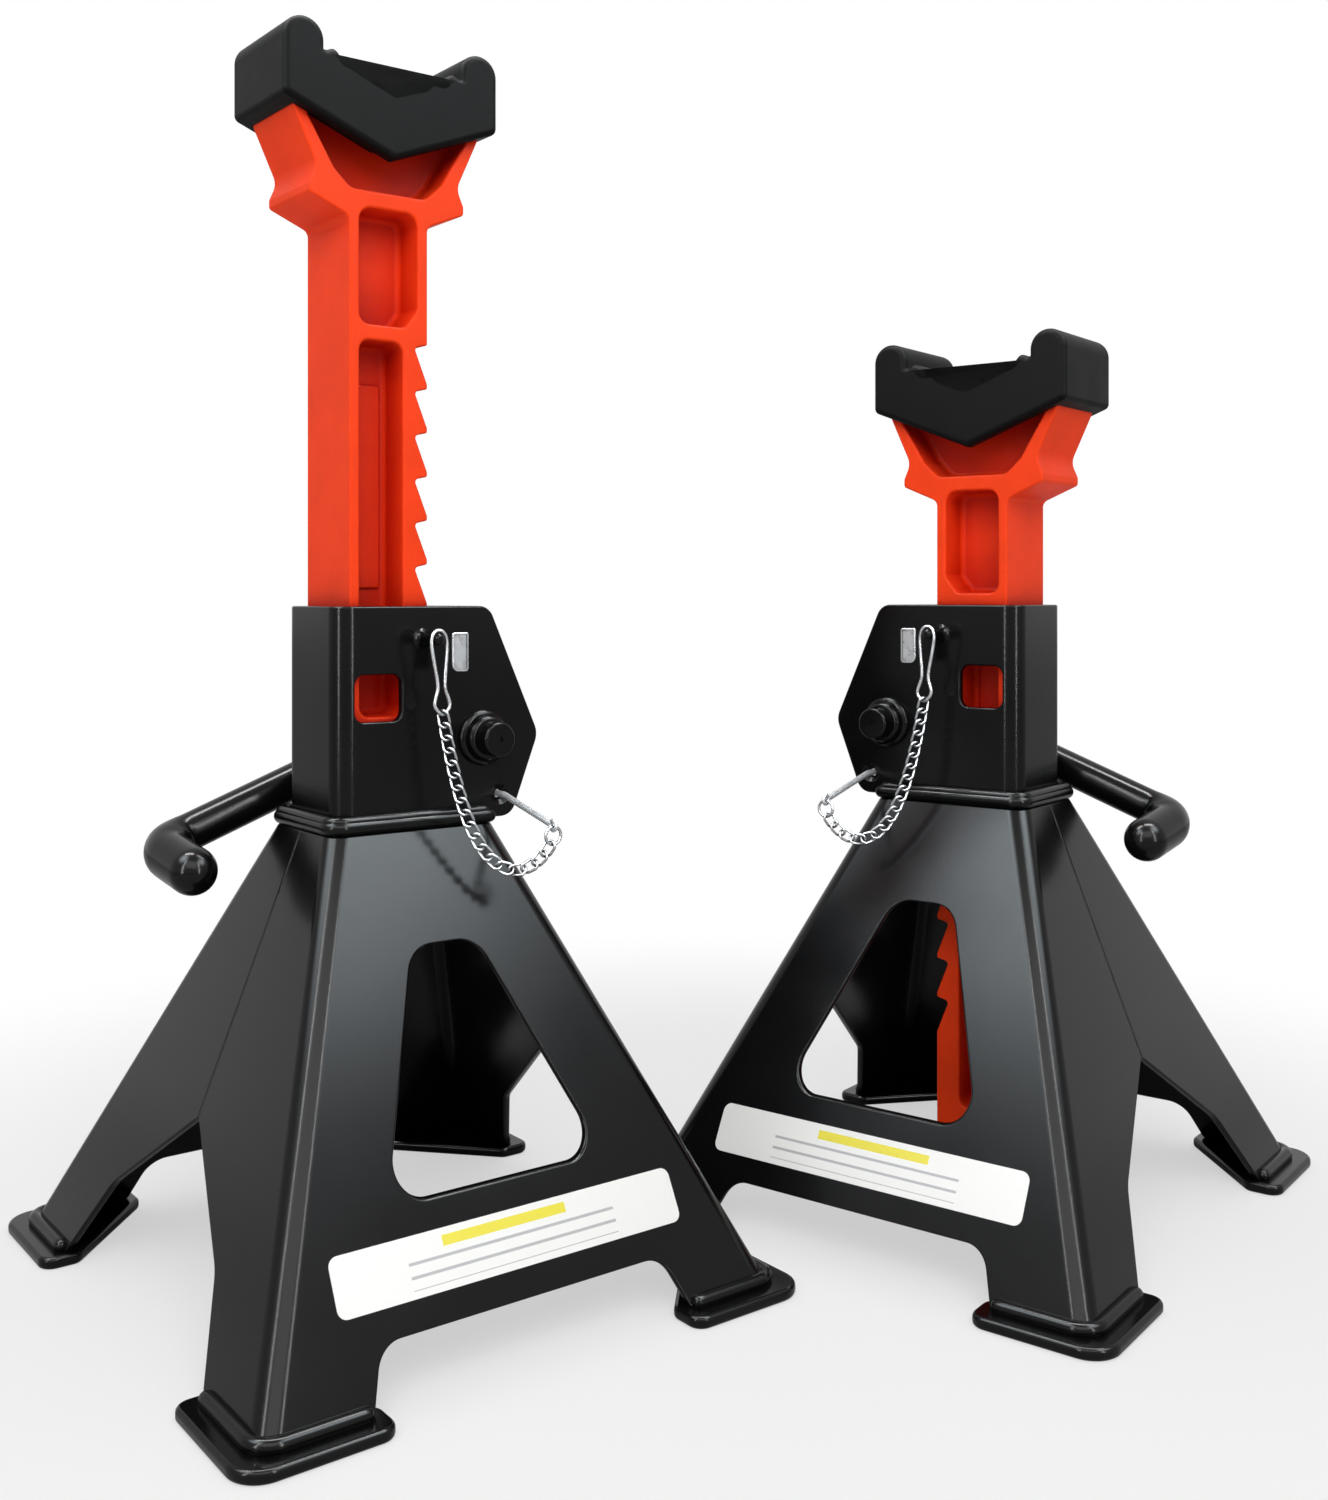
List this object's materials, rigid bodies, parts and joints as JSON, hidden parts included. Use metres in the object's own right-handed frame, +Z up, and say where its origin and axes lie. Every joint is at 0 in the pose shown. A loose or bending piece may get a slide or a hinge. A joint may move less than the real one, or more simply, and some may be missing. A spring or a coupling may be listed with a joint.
{
  "type": "ratchet axle jack stands",
  "caption": "Ratchet axle jack stands: pressed steel pyramid bases, cast toothed bars with rubber V saddles, pawl handles and chained safety pins.",
  "frame": {"origin": "on the floor, midway between the two stands", "axes": "+Z up, -Y towards the front faces, +X from the left stand to the right one"},
  "size_m": [0.6664, 0.4714, 0.5579],
  "materials": {
    "black_enamel": "gloss black enamel on pressed steel",
    "red_casting": "semi-gloss orange-red paint on a casting",
    "saddle_rubber": "moulded matte black rubber",
    "zinc_steel": "bright zinc plate",
    "label_film": "printed film, blank"
  },
  "bodies": {
    "left_frame": {"left_front_shell": "black_enamel", "left_rear_shell": "black_enamel", "left_foot_plates": "black_enamel", "left_collar": "black_enamel", "left_housing": "black_enamel", "left_bar_guide": "black_enamel", "left_pivot_bushes": "black_enamel", "left_chain_peg": "black_enamel", "left_chain_tab": "zinc_steel", "left_chain_hook": "zinc_steel", "left_chain": "zinc_steel", "left_label": "label_film"},
    "left_bar": {"left_ratchet_bar": "red_casting", "left_saddle_pad": "saddle_rubber"},
    "left_lever": {"left_pawl": "black_enamel", "left_pawl_washers": "zinc_steel", "left_pawl_pin": "zinc_steel", "left_handle": "black_enamel"},
    "left_pin": {"left_safety_pin": "zinc_steel", "left_pin_ring": "zinc_steel"},
    "right_frame": {"right_front_shell": "black_enamel", "right_rear_shell": "black_enamel", "right_foot_plates": "black_enamel", "right_collar": "black_enamel", "right_housing": "black_enamel", "right_bar_guide": "black_enamel", "right_pivot_bushes": "black_enamel", "right_chain_peg": "black_enamel", "right_chain_tab": "zinc_steel", "right_chain_hook": "zinc_steel", "right_chain": "zinc_steel", "right_label": "label_film"},
    "right_bar": {"right_ratchet_bar": "red_casting", "right_saddle_pad": "saddle_rubber"},
    "right_lever": {"right_pawl": "black_enamel", "right_pawl_washers": "zinc_steel", "right_pawl_pin": "zinc_steel", "right_handle": "black_enamel"},
    "right_pin": {"right_safety_pin": "zinc_steel", "right_pin_ring": "zinc_steel"}
  },
  "joints": [
    {"name": "left_bar_slide", "type": "slide", "parent": "left_frame", "child": "left_bar", "axis": [0, 0, 1], "range_m": [-0.14, 0.06]},
    {"name": "left_handle_turn", "type": "hinge", "parent": "left_frame", "child": "left_lever", "pos_m": [-0.11649, -0.02288, 0.242], "axis": [-0.606, 0.7955, 0], "range_deg": [-7, 16]},
    {"name": "left_pin_pull", "type": "slide", "parent": "left_frame", "child": "left_pin", "axis": [0.606, -0.7955, 0], "range_m": [0, 0.06]},
    {"name": "right_bar_slide", "type": "slide", "parent": "right_frame", "child": "right_bar", "axis": [0, 0, 1], "range_m": [-0.02, 0.18]},
    {"name": "right_handle_turn", "type": "hinge", "parent": "right_frame", "child": "right_lever", "pos_m": [0.11649, 0.06712, 0.242], "axis": [-0.606, -0.7955, 0], "range_deg": [-7, 16]},
    {"name": "right_pin_pull", "type": "slide", "parent": "right_frame", "child": "right_pin", "axis": [-0.606, -0.7955, 0], "range_m": [0, 0.06]},
    {"name": "stands_apart", "type": "slide", "parent": "left_frame", "child": "right_frame", "axis": [1, 0, 0], "range_m": [0, 0.3]}
  ]
}
